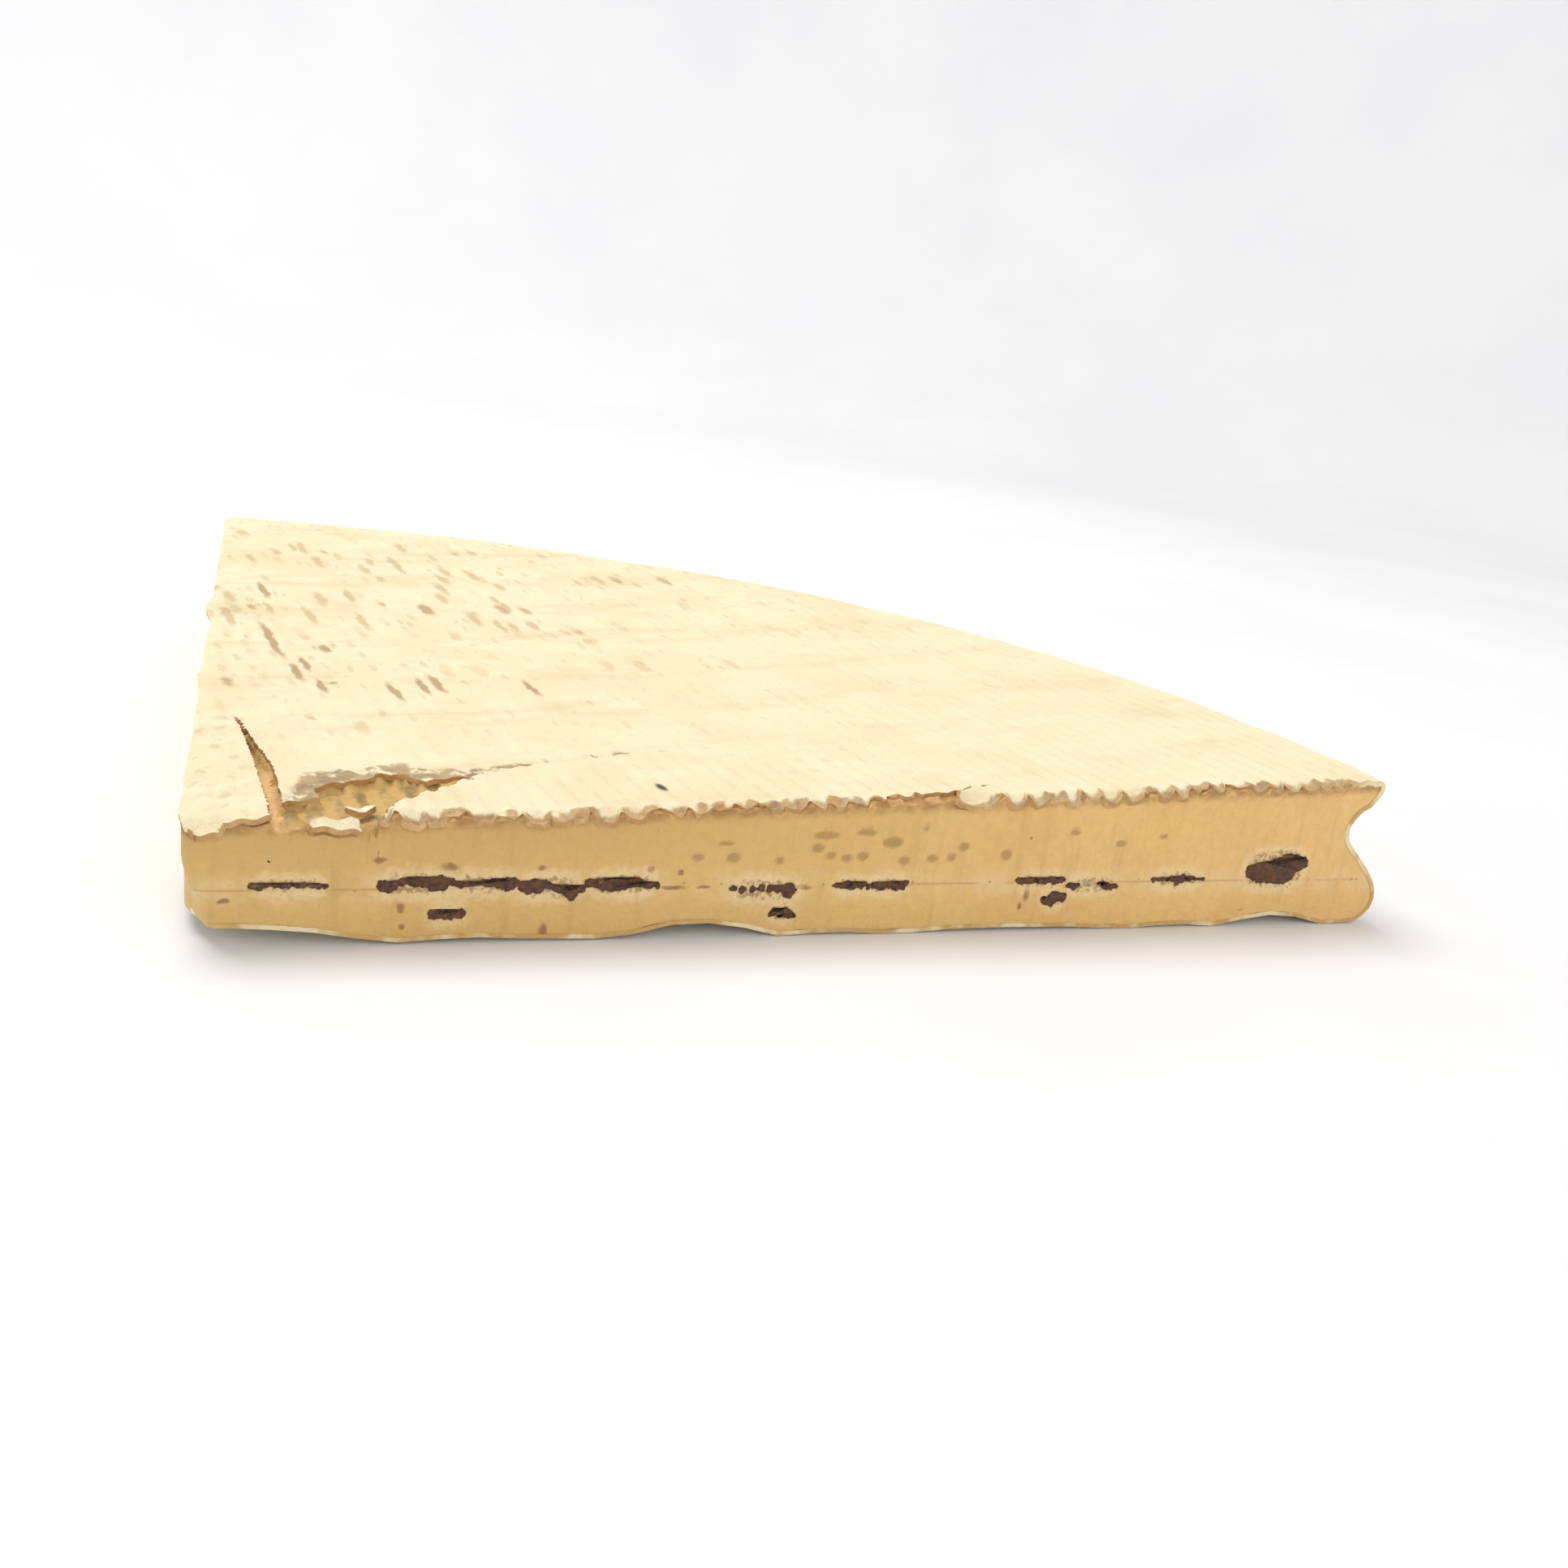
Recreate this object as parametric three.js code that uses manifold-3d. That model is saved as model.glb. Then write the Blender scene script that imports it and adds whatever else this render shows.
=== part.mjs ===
// A quarter cut from a flat soft-ripened cheese wheel with black truffle laid through its paste.
// Units are millimetres, +Z is up and the cheese rests on z = 0. The middle of the wheel is the
// wedge's tip. One cut face looks along -Y, with the tip at its left end, and the other cut face
// looks along -X. The origin is the middle of the wedge's footprint.
import * as THREE from "three";
import { mergeVertices } from "three/addons/utils/BufferGeometryUtils.js";
import Module from "manifold-3d";

const wasm = await Module();
wasm.setup();

// The wheel
const RIM_RADIUS = 185; // at the upper lip
const RIM_HEIGHT = 26.3; // the lip's height
const CENTRE_HEIGHT = 18; // the wheel has sunk towards its middle
const DISH_POWER = 1.15; // how the top rises from the middle to the lip
const LIP_ROUNDING = 1.6;
const WAIST_INSET = 5; // the side is drawn in below the lip
const WAIST_HEIGHT = 18;
const BELLY_OUTSET = 3.6; // and bulges out again above the foot
const BELLY_HEIGHT = 4.6;
const FOOT_INSET = 1;
const WHEEL_STEPS = 96; // facets round the whole wheel
const DISH_STEPS = 12; // facets from the middle to the lip
const SIDE_STEPS = 6; // facets in each bend of the side
const ROUNDING_STEPS = 4;

// The cut
const CUT_ANGLE = THREE.MathUtils.degToRad(90);
const TIP_FILLET = 2;

// Places along a cut face are shares of the way from the tip (0) to the rim (1).
// The underside curls up under the tip, and in shallow arches along both cuts.
const TIP_CURL = { reach: 24, height: 3 };
const FRONT_ARCHES = [
  { at: 0.2, half_length: 9, reach: 14, height: 0.9 },
  { at: 0.37, half_length: 10, reach: 22, height: 2.4 },
  { at: 0.64, half_length: 15, reach: 16, height: 0.7 },
  { at: 0.91, half_length: 8, reach: 14, height: 1.9 },
];
const SIDE_ARCHES = [
  { at: 0.3, half_length: 13, reach: 18, height: 1.7 },
  { at: 0.56, half_length: 9, reach: 12, height: 0.8 },
  { at: 0.79, half_length: 12, reach: 20, height: 2.1 },
];

// The top rind is torn away beside the tip, which leaves a shallow scoop in the front edge.
const TORN_SCOOP = { at: 0.085, half_length: 14, reach: 13, depth: 2.1 };

// Each truffle piece is half a lump, sliced flush with the cut face. It spans two places along
// the cut, and its middle is at a rise above or below the truffle layer.
const LAYER_HEIGHT = 8.3;
const FRONT_TRUFFLE = [
  { from: 0.05, to: 0.094, rise: 0.4, thickness: 1.3 },
  { from: 0.135, to: 0.181, rise: 0.5, thickness: 2.1 },
  { from: 0.189, to: 0.227, rise: 0.5, thickness: 1.8 },
  { from: 0.235, to: 0.277, rise: -0.1, thickness: 2.6 },
  { from: 0.285, to: 0.334, rise: 0.2, thickness: 2.3 },
  { from: 0.171, to: 0.19, rise: -4, thickness: 1.9 },
  { from: 0.398, to: 0.452, rise: -0.9, thickness: 2.6 },
  { from: 0.434, to: 0.448, rise: -4.7, thickness: 1.9 },
  { from: 0.483, to: 0.506, rise: -0.5, thickness: 1.4 },
  { from: 0.514, to: 0.543, rise: -0.4, thickness: 1.5 },
  { from: 0.649, to: 0.684, rise: 0.1, thickness: 1.2 },
  { from: 0.675, to: 0.69, rise: -3.2, thickness: 2.6 },
  { from: 0.697, to: 0.738, rise: -0.7, thickness: 1.7 },
  { from: 0.782, to: 0.826, rise: 0.1, thickness: 2.2 },
  { from: 0.872, to: 0.934, rise: 1.7, thickness: 5.6 },
];
const SIDE_TRUFFLE = [
  { from: 0.09, to: 0.14, rise: 0.3, thickness: 1.8 },
  { from: 0.173, to: 0.2, rise: -0.2, thickness: 2.4 },
  { from: 0.227, to: 0.281, rise: 0.2, thickness: 1.7 },
  { from: 0.274, to: 0.289, rise: -3.9, thickness: 2.1 },
  { from: 0.349, to: 0.387, rise: -0.1, thickness: 2.6 },
  { from: 0.442, to: 0.468, rise: 0.1, thickness: 1.4 },
  { from: 0.496, to: 0.547, rise: -0.3, thickness: 2 },
  { from: 0.588, to: 0.634, rise: 1.1, thickness: 4.6 },
  { from: 0.671, to: 0.702, rise: -0.1, thickness: 1.5 },
  { from: 0.714, to: 0.729, rise: 4.3, thickness: 2.2 },
  { from: 0.742, to: 0.782, rise: -0.2, thickness: 1.8 },
  { from: 0.83, to: 0.878, rise: 0.2, thickness: 2.8 },
];
const TRUFFLE_DEPTH = 2.6; // how far a piece runs in behind the cut
const TRUFFLE_CLEARANCE = 0.3; // between a piece and the pocket that it lies in
const LUMP_LENGTH = 5; // a longer piece is a row of lumps that run into each other
const LUMP_OVERLAP = 1.3; // a lump's length in a row, over its share of the piece
const LUMP_DENT = 0.14; // how uneven a lump is
const LUMP_WANDER = 0.12; // how far a row strays up and down, over its thickness

const CHEESE_COLOUR = 0xf3e6c4;
const TRUFFLE_COLOUR = 0x33221c;

// Solids

function solidFrom(geometry) {
  const bare = geometry.clone();
  bare.deleteAttribute("normal");
  bare.deleteAttribute("uv");
  const merged = mergeVertices(bare, 1e-4);
  return new wasm.Manifold(
    new wasm.Mesh({
      numProp: 3,
      vertProperties: merged.attributes.position.array,
      triVerts: new Uint32Array(merged.index.array),
    }),
  );
}

function geometryFrom(solid) {
  const mesh = solid.getMesh();
  const geometry = new THREE.BufferGeometry();
  geometry.setAttribute(
    "position",
    new THREE.BufferAttribute(mesh.vertProperties, mesh.numProp),
  );
  geometry.setIndex(new THREE.BufferAttribute(mesh.triVerts, 1));
  geometry.computeVertexNormals();
  return geometry;
}

function joined(solids) {
  return solids.reduce((whole, next) => whole.add(next));
}

// The wheel, before it is cut

function topHeight(radius) {
  return CENTRE_HEIGHT + (RIM_HEIGHT - CENTRE_HEIGHT) * (radius / RIM_RADIUS) ** DISH_POWER;
}

// Points of a smooth bend from one point of the outline to the next, without the first point
function bendPoints(start, end) {
  const points = [];
  for (let i = 1; i <= SIDE_STEPS; i++) {
    const share = i / SIDE_STEPS;
    const eased = (1 - Math.cos(Math.PI * share)) / 2;
    points.push(
      new THREE.Vector2(
        THREE.MathUtils.lerp(start.x, end.x, eased),
        THREE.MathUtils.lerp(start.y, end.y, share),
      ),
    );
  }
  return points;
}

function wheelSolid() {
  const flat_radius = RIM_RADIUS - LIP_ROUNDING; // where the top meets the lip's rounding
  const lip_height = topHeight(flat_radius) - LIP_ROUNDING;
  const belly = new THREE.Vector2(RIM_RADIUS + BELLY_OUTSET, BELLY_HEIGHT);
  const waist = new THREE.Vector2(RIM_RADIUS - WAIST_INSET, WAIST_HEIGHT);
  const lip = new THREE.Vector2(RIM_RADIUS, lip_height);
  const foot_rounding = new THREE.EllipseCurve(
    RIM_RADIUS - FOOT_INSET,
    BELLY_HEIGHT,
    FOOT_INSET + BELLY_OUTSET,
    BELLY_HEIGHT,
    -Math.PI / 2,
    0,
  );
  const lip_rounding = new THREE.EllipseCurve(
    flat_radius,
    lip_height,
    LIP_ROUNDING,
    LIP_ROUNDING,
    0,
    Math.PI / 2,
  );
  const outline = [
    new THREE.Vector2(0, 0),
    ...foot_rounding.getPoints(ROUNDING_STEPS),
    ...bendPoints(belly, waist),
    ...bendPoints(waist, lip),
    ...lip_rounding.getPoints(ROUNDING_STEPS).slice(1),
  ];
  for (let i = DISH_STEPS - 1; i >= 0; i--) {
    const radius = (flat_radius * i) / DISH_STEPS;
    outline.push(new THREE.Vector2(radius, topHeight(radius)));
  }
  const wheel = new THREE.LatheGeometry(outline, WHEEL_STEPS);
  wheel.rotateX(Math.PI / 2); // the lathe turns about Y, and the wheel's axis is Z
  return solidFrom(wheel);
}

// What the knife leaves of it: a sector with a slightly rounded tip

function sectorSolid() {
  const reach = 1.5 * (RIM_RADIUS + BELLY_OUTSET);
  const half = CUT_ANGLE / 2;
  const to_fillet = TIP_FILLET / Math.sin(half);
  const outline = new THREE.Shape();
  outline.absarc(0, 0, reach, 0, CUT_ANGLE, false);
  outline.absarc(
    to_fillet * Math.cos(half),
    to_fillet * Math.sin(half),
    TIP_FILLET,
    CUT_ANGLE + Math.PI / 2,
    1.5 * Math.PI,
    false,
  );
  const prism = new THREE.ExtrudeGeometry(outline, {
    depth: 3 * RIM_HEIGHT,
    bevelEnabled: false,
    curveSegments: 8,
  });
  prism.translate(0, 0, -RIM_HEIGHT);
  return solidFrom(prism);
}

// A shallow egg-shaped hollow beside a cut face. turn is the cut face's direction.
function hollowSolid(along, half_length, reach, depth, height, turn) {
  const egg = new THREE.SphereGeometry(1, 20, 10);
  egg.scale(half_length, reach, depth);
  egg.translate(along, 0, height);
  egg.rotateZ(turn);
  return solidFrom(egg);
}

function archSolid(arch, turn) {
  const { at, half_length, reach, height } = arch;
  return hollowSolid(at * RIM_RADIUS, half_length, reach, height, 0, turn);
}

function hollowSolids() {
  const scoop_along = TORN_SCOOP.at * RIM_RADIUS;
  return [
    hollowSolid(0, TIP_CURL.reach, TIP_CURL.reach, TIP_CURL.height, 0, 0),
    ...FRONT_ARCHES.map((arch) => archSolid(arch, 0)),
    ...SIDE_ARCHES.map((arch) => archSolid(arch, CUT_ANGLE)),
    hollowSolid(
      scoop_along,
      TORN_SCOOP.half_length,
      TORN_SCOOP.reach,
      TORN_SCOOP.depth,
      topHeight(scoop_along),
      0,
    ),
  ];
}

// Truffle. A lump is dented from the outside in, so it never reaches past its half_size. grow
// widens every lump on all sides, which makes the shape of the pocket.

function lumpGeometry(half_size, phase) {
  const lump = new THREE.IcosahedronGeometry(1, 1);
  const corners = lump.attributes.position;
  const corner = new THREE.Vector3();
  for (let i = 0; i < corners.count; i++) {
    corner.fromBufferAttribute(corners, i);
    const wave = Math.sin(4 * corner.x + phase) * Math.cos(3 * corner.z - phase);
    corner.multiplyScalar(1 - LUMP_DENT * (1 - wave)).multiply(half_size);
    corners.setXYZ(i, corner.x, corner.y, corner.z);
  }
  return lump;
}

function truffleSolid(piece, turn, grow) {
  const start = piece.from * RIM_RADIUS;
  const end = piece.to * RIM_RADIUS;
  const count = Math.ceil((end - start) / LUMP_LENGTH);
  const overlap = count === 1 ? 1 : LUMP_OVERLAP;
  const half_length = (overlap * (end - start)) / count / 2;
  const half_size = new THREE.Vector3(half_length, TRUFFLE_DEPTH, piece.thickness / 2);
  half_size.addScalar(grow);
  const lumps = [];
  for (let i = 0; i < count; i++) {
    const along = THREE.MathUtils.lerp(
      start + half_length,
      end - half_length,
      count === 1 ? 0 : i / (count - 1),
    );
    const phase = 3 * i + 10 * piece.thickness;
    const stray = LUMP_WANDER * piece.thickness * Math.sin(phase);
    const lump = lumpGeometry(half_size, phase);
    lump.translate(along, 0, LAYER_HEIGHT + piece.rise + stray);
    lump.rotateZ(turn);
    lumps.push(solidFrom(lump));
  }
  return joined(lumps);
}

// Assembly

const cheese_material = new THREE.MeshStandardMaterial({
  color: CHEESE_COLOUR,
  roughness: 0.85,
  metalness: 0,
});
const truffle_material = new THREE.MeshStandardMaterial({
  color: TRUFFLE_COLOUR,
  roughness: 0.7,
  metalness: 0,
});

const wedge = new THREE.Group();

function addPiece(name, solid, material) {
  const mesh = new THREE.Mesh(geometryFrom(solid), material);
  mesh.name = name;
  wedge.add(mesh);
}

const sector = sectorSolid();
const cut_faces = [
  { name: "front", pieces: FRONT_TRUFFLE, turn: 0 },
  { name: "side", pieces: SIDE_TRUFFLE, turn: CUT_ANGLE },
];
const pockets = [];
for (const { name, pieces, turn } of cut_faces) {
  pieces.forEach((piece, i) => {
    pockets.push(truffleSolid(piece, turn, TRUFFLE_CLEARANCE));
    const sliced = truffleSolid(piece, turn, 0).intersect(sector);
    addPiece(`truffle_${name}_${i + 1}`, sliced, truffle_material);
  });
}
const uncut = wheelSolid().intersect(sector);
const cheese = uncut.subtract(joined([...hollowSolids(), ...pockets]));
addPiece("cheese_wedge", cheese, cheese_material);

const middle = new THREE.Box3().setFromObject(wedge).getCenter(new THREE.Vector3());
wedge.position.set(-middle.x, -middle.y, 0);

export default wedge;
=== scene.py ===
import math
import random
import bmesh
import bpy
from mathutils import Matrix, Vector


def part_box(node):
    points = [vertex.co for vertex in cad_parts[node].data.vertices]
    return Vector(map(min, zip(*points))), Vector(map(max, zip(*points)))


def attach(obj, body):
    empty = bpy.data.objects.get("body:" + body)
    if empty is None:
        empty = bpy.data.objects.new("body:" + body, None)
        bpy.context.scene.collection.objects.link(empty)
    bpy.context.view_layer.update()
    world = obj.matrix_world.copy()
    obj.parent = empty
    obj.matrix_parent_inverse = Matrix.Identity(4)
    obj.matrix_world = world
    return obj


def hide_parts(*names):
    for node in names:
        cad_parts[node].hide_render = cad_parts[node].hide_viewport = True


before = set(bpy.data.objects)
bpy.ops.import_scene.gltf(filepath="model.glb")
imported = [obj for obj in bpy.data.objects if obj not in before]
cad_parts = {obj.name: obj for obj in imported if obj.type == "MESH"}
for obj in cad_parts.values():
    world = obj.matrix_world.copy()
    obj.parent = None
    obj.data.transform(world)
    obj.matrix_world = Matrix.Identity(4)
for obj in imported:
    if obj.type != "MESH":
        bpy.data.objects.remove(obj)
bpy.context.view_layer.update()

MM = 0.001
CORNER, FAR_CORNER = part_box("cheese_wedge")
TIP = Vector((CORNER.x, CORNER.y, 0))  # the wedge's tip, which is the middle of the wheel
QUARTER = math.pi / 2

# The wheel. Places are in millimetres from the tip: along the front cut, away from it, and up.
BELLY_RADIUS = (FAR_CORNER.x - CORNER.x) / MM
LIP_RADIUS = BELLY_RADIUS - 3.6
WAIST_RADIUS = LIP_RADIUS - 5
FOOT_RADIUS = LIP_RADIUS - 1
LIP_ROUNDING = 1.6
CENTRE_HEIGHT = 18
RIM_HEIGHT = 26.3
WAIST_HEIGHT = 18
BELLY_HEIGHT = 4.6
DISH_POWER = 1.15
TIP_FILLET = 2
TIP_LEAN = 3

TOP_FROM = 12  # what is higher than this counts as the top
TOP_BLEND = 4  # over this much more height the top's swells and marks come in
ON_CUT = 0.01  # what is this close to a cut lies on it
MERGE = 0.01  # vertices closer than this are one

RIND_THICKNESS = 0.8
RIND_SUNK_IN_PASTE = 0.55  # how far the paste's surface is below the rind's
STRAW_PITCH = 3.3
STRAW_TURN = math.radians(10)  # the mat's straws ran this far from square to the front cut
STRING_PITCH = 22  # the mat's strings ran across the straws
TRUFFLE_HEIGHT = 8.1  # of the layer with the truffle in it
LOBE_HANG = 1.6  # how far the deepest lobe of rind hangs down the front cut
SIDE_HANG = 1


# ---------------- hand tools

def at_tip(x, y, z):
    """A place in millimetres from the tip, in the frame's metres."""
    return TIP + Vector((x, y, z)) * MM


def from_tip(point):
    return (point - TIP) / MM


def deselect_all():
    if bpy.context.object and bpy.context.object.mode != "OBJECT":
        bpy.ops.object.mode_set(mode="OBJECT")
    bpy.ops.object.select_all(action="DESELECT")


def take_up(piece):
    deselect_all()
    piece.select_set(True)
    bpy.context.view_layer.objects.active = piece


def open_edit(piece):
    take_up(piece)
    bpy.ops.object.mode_set(mode="EDIT")
    bpy.ops.mesh.select_mode(type="VERT")
    bpy.ops.mesh.select_all(action="DESELECT")


def close_edit():
    bpy.ops.object.mode_set(mode="OBJECT")


def pick_all():
    bpy.ops.mesh.select_all(action="SELECT")


def pick_faces(piece, test):
    """In edit mode, selects the faces whose middle passes the test."""
    bpy.ops.mesh.select_mode(type="FACE")
    mesh = bmesh.from_edit_mesh(piece.data)
    for face in mesh.faces:
        face.select_set(test(from_tip(face.calc_center_median())))
    bmesh.update_edit_mesh(piece.data)


def apply_modifier(piece, modifier):
    take_up(piece)
    bpy.ops.object.modifier_apply(modifier=modifier.name)


def shade_smooth(degrees=40):
    """Smooth shading, with an edge kept where faces meet more sharply than this."""
    bpy.ops.object.shade_smooth_by_angle(angle=math.radians(degrees))


def smooth(value):
    value = min(max(value, 0), 1)
    return value * value * (3 - 2 * value)


def paint(piece, rule):
    """A vertex group whose weight at each place is what the rule says, up to 1."""
    group = piece.vertex_groups.new(name=rule.__name__)
    for vert in piece.data.vertices:
        weight = rule(*from_tip(vert.co))
        if weight > 0:
            group.add([vert.index], min(weight, 1), "REPLACE")
    return group.name


def noise_texture(name, size, depth=2):
    texture = bpy.data.textures.new(name, "CLOUDS")
    texture.noise_scale = size * MM
    texture.noise_depth = depth
    return texture


def push(piece, amount, direction, group="", texture=None, middle=0.5):
    """Moves the surface by amount where the group is painted, or up and down with a texture."""
    modifier = piece.modifiers.new("push", "DISPLACE")
    modifier.direction = direction
    modifier.strength = amount * MM
    modifier.mid_level = middle if texture else 0
    modifier.vertex_group = group
    if texture:
        modifier.texture = texture
        modifier.texture_coords = "LOCAL"
    apply_modifier(piece, modifier)


# ---------------- the section

def dish(radius):
    share = max(radius, 0) / LIP_RADIUS
    return CENTRE_HEIGHT + (RIM_HEIGHT - CENTRE_HEIGHT) * share ** DISH_POWER


def bend(start, end, steps):
    points = []
    for i in range(1, steps + 1):
        share = i / steps
        eased = (1 - math.cos(math.pi * share)) / 2
        points.append((start[0] + (end[0] - start[0]) * eased, start[1] + (end[1] - start[1]) * share))
    return points


def rounding(middle, wide, high, start, end, steps):
    points = []
    for i in range(1, steps + 1):
        angle = start + (end - start) * i / steps
        points.append((middle[0] + wide * math.cos(angle), middle[1] + high * math.sin(angle)))
    return points


def outline(top_steps, side_steps, under_steps, inset=0):
    """The section's edge, from the middle of the top over the rim to the middle of the underside."""
    flat = LIP_RADIUS - LIP_ROUNDING
    lip = (LIP_RADIUS - inset, dish(flat) - LIP_ROUNDING)
    waist = (WAIST_RADIUS - inset, WAIST_HEIGHT)
    belly = (BELLY_RADIUS - inset, BELLY_HEIGHT)
    foot = (BELLY_RADIUS - FOOT_RADIUS - inset, BELLY_HEIGHT - inset)
    turn = max(4, side_steps // 2)
    top = [(flat * i / top_steps, dish(flat * i / top_steps) - inset) for i in range(top_steps + 1)]
    under = [(FOOT_RADIUS * (1 - i / under_steps), inset) for i in range(1, under_steps + 1)]
    return [
        *top,
        *rounding((flat, lip[1]), LIP_ROUNDING - inset, LIP_ROUNDING - inset, QUARTER, 0, turn),
        *bend(lip, waist, side_steps),
        *bend(waist, belly, side_steps),
        *rounding((FOOT_RADIUS, BELLY_HEIGHT), *foot, 0, -QUARTER, turn),
        *under,
    ]


def draw_line(name, points):
    """One vertex at the first point, extruded from point to point in the plane of the front cut."""
    bpy.ops.mesh.primitive_plane_add(size=MM, location=at_tip(points[0][0], 0, points[0][1]))
    piece = bpy.context.object
    piece.name = name
    bpy.ops.object.transform_apply(location=True, rotation=True, scale=True)
    bpy.ops.object.mode_set(mode="EDIT")
    bpy.ops.mesh.select_mode(type="VERT")
    pick_all()
    bpy.ops.mesh.merge(type="CENTER")
    for (x, z), (next_x, next_z) in zip(points, points[1:]):
        step = ((next_x - x) * MM, 0, (next_z - z) * MM)
        bpy.ops.mesh.extrude_region_move(TRANSFORM_OT_translate={"value": step})
    return piece


def sweep(stages):
    """Spins what is selected round the wheel's axis, away from the front cut."""
    for steps, degrees in stages:
        bpy.ops.mesh.spin(steps=steps, angle=-math.radians(degrees), center=TIP, axis=(0, 0, 1))


# ---------------- places on the wedge

# The long crack in the rind, from the front edge towards the middle of the top
CRACK = [
    (23.3, -0.5), (25.6, 2.2), (29.7, 6.8), (34, 10.2), (40, 16.4), (49, 20), (57, 22.1), (65, 23.7),
    (74, 25.1), (83, 26),
]
# The rind is torn off between the slit and the crack.
TEAR = [
    (12, -1), (12, 5.4), (13.6, 6.6), (17.2, 7.6), (16.4, 11.4), (19, 13.4), (22.3, 14.2), (25.4, 16.8),
    (28, 16.2), (31, 13.4), (34.5, 13.9), (38, 16), (34, 10.2), (29.7, 6.8), (25.6, 2.2), (23.3, -1),
]
# The slit, with its left edge overlapping its right one
SLIT = [
    (11, -1), (9.7, 12), (8.9, 19), (7.4, 29), (6.4, 36), (5.2, 43), (7, 36), (8.9, 27.5), (10.7, 20.6),
    (11.4, 13.4), (12, 5.4), (12, -1),
]
# A small flap further along, torn up from the front edge
FLAP_TEAR = [
    (95, -1), (96, 0.5), (100, 1.1), (105.7, 2), (111.4, 4.6), (117, 5.6), (111.5, 3.4), (107.4, 1.8),
    (106.6, -1),
]
FLAP_TONGUE = (107, 112.5)
CRACK_REACH = (95, 34)  # the crack, and what it lifts, lie closer to the tip than this
SLIT_REACH = (14, 48)
SLIT_EDGE = [(11, -0.5), (9.7, 12), (8.9, 19), (7.4, 29), (6.4, 36), (5, 46)]

TIP_CURL = (0, 24, 24, 3)
FRONT_ARCHES = [(37, 9, 14, 0.9), (68.5, 10, 22, 2.4), (118.4, 15, 16, 0.7), (168.4, 8, 14, 1.9)]
SIDE_ARCHES = [(55.5, 13, 18, 1.7), (103.6, 9, 12, 0.8), (146.2, 12, 20, 2.1)]


def inside(shape, x, y):
    """Whether a place on the top lies within a closed outline."""
    within = False
    for (x1, y1), (x2, y2) in zip(shape, shape[1:] + shape[:1]):
        if (y1 > y) != (y2 > y) and x < x1 + (x2 - x1) * (y - y1) / (y2 - y1):
            within = not within
    return within


def beside(path, x, y):
    """The share of the way along a path, and how far to its right a place is."""
    best = (0, 1e6)
    for i, ((x1, y1), (x2, y2)) in enumerate(zip(path, path[1:])):
        run = (x2 - x1, y2 - y1)
        length = math.hypot(*run)
        share = min(max(((x - x1) * run[0] + (y - y1) * run[1]) / length ** 2, 0), 1)
        away = math.hypot(x - x1 - run[0] * share, y - y1 - run[1] * share)
        if away < abs(best[1]):
            side = (x - x1) * run[1] - (y - y1) * run[0]
            best = ((i + share) / (len(path) - 1), math.copysign(away, side))
    return best


def on_top(x, y, z):
    return z > TOP_FROM and math.hypot(x, y) < LIP_RADIUS


def top_share(x, y, z):
    """1 on the top, down to 0 a way down the cuts and the rim's waist."""
    return smooth((z - TOP_FROM) / TOP_BLEND) if on_top(x, y, z) else 0


def under_lift(x, y, z):
    """How high the underside curls up off the board, over the highest curl."""
    if z > 2:
        return 0
    edge = min(x, y)
    along_edge = max(x, y)
    wavy = 0.3 + 0.15 * math.sin(along_edge / 3.3) + 0.12 * math.sin(along_edge / 1.2)
    rise = smooth(1 - edge / 2.5) * wavy
    arches = [(TIP_CURL, x, y)] + [(a, x, y) for a in FRONT_ARCHES] + [(a, y, x) for a in SIDE_ARCHES]
    for (middle, half_length, reach, height), along, away in arches:
        spread = ((along - middle) / half_length) ** 2 + (away / reach) ** 2
        if spread < 1:
            rise = max(rise, height * (1 - spread) ** 0.6)
    return rise / TIP_CURL[3]


# ---------------- rind

RIND_STEPS = (360, 14, 34)  # edges across the top, down the side and across the underside
RIND_SWEEP = [(16, 2), (16, 8), (44, 62), (24, 18)]  # steps and degrees, finest at the front cut

ISLAND = (21.8, 3.9, 2.1, 1.1)  # a scrap of rind left standing in the tear
SLIVER = (15.4, 21.9, 1)  # and one along the front edge
LEFT_DROOP = 4.8  # up to here the flap at the tip hangs down over the cut
LOBES_FROM, LOBES_TO = 23, 176  # along the front cut


def draw_lobes():
    """The knife dragged the rind over the cut in lobes, about one to a straw: middle, half width, depth."""
    draw = random.Random("lobes")
    lobes = [((FLAP_TONGUE[0] + FLAP_TONGUE[1]) / 2, 3.2, 1.5)]
    middle = LOBES_FROM + 1.5
    while middle < LOBES_TO:
        strong = 1 if middle < 64 or 112 < middle < 146 else 0.62
        if not FLAP_TEAR[0][0] - 1 < middle < FLAP_TONGUE[1] + 1:
            lobes.append((middle, draw.uniform(1.1, 1.9), strong * draw.choice((0.25, 0.6, 0.8, 0.9, 1))))
        middle += STRAW_PITCH * draw.uniform(0.75, 1.25)
    return lobes


LOBES = draw_lobes()


def lobe(x):
    """How far the rind hangs over the cut here, from 0 between the lobes to 1 on a deep one."""
    return max((depth * smooth(1.35 - abs(x - middle) / half) for middle, half, depth in LOBES), default=0)


def kept_scrap(x, y):
    middle_x, middle_y, long, wide = ISLAND
    start, end, width = SLIVER
    island = ((x - middle_x) / long) ** 2 + ((y - middle_y) / wide) ** 2 < 1
    return island or (start < x < end and y < width)


def torn_away(x, y):
    return inside(FLAP_TEAR, x, y) or ((inside(TEAR, x, y) or inside(SLIT, x, y)) and not kept_scrap(x, y))


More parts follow.
